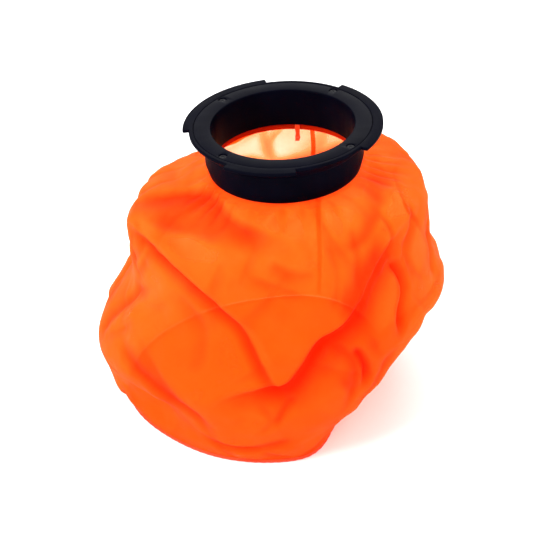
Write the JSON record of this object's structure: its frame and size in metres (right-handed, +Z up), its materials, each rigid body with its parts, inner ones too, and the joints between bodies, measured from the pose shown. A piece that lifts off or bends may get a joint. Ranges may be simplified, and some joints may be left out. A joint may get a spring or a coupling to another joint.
{
  "type": "detector test smoke hood",
  "caption": "Hood for testing a ceiling smoke detector: a black bayonet mounting ring on a loose, translucent orange fabric bag that holds test smoke.",
  "frame": {"origin": "centre of the hood's outline seen from above, on the surface that the bag stands on", "axes": "+Z up along the mounting ring's axis, out of the mouth; +X to the right and -Y towards the front"},
  "size_m": [0.2796, 0.255, 0.238],
  "materials": {
    "ring_plastic": "satin black moulding",
    "liner_plastic": "smooth glossy black moulding",
    "screw_steel": "black oxide",
    "bag_fabric": "thin translucent coated nylon",
    "seam_tape": "folded and stitched nylon"
  },
  "bodies": {
    "bag": {"bag_base_panel": "bag_fabric", "base_seam": "seam_tape", "bag_side_panel": "bag_fabric", "bag_top_panel": "bag_fabric", "back_seam": "seam_tape"},
    "ring": {"mounting_ring": "ring_plastic", "liner_ring": "liner_plastic", "liner_screw_1": "screw_steel", "liner_screw_2": "screw_steel", "liner_screw_3": "screw_steel", "liner_screw_4": "screw_steel", "hem_cord": "seam_tape", "bag_hem": "bag_fabric", "seam_tab": "seam_tape"}
  },
  "joints": [
    {"name": "bag_collapse", "type": "slide", "parent": "bag", "child": "ring", "axis": [0, 0, -1], "range_m": [0, 0.15], "deforming": ["bag_side_panel", "bag_top_panel", "back_seam"]}
  ]
}
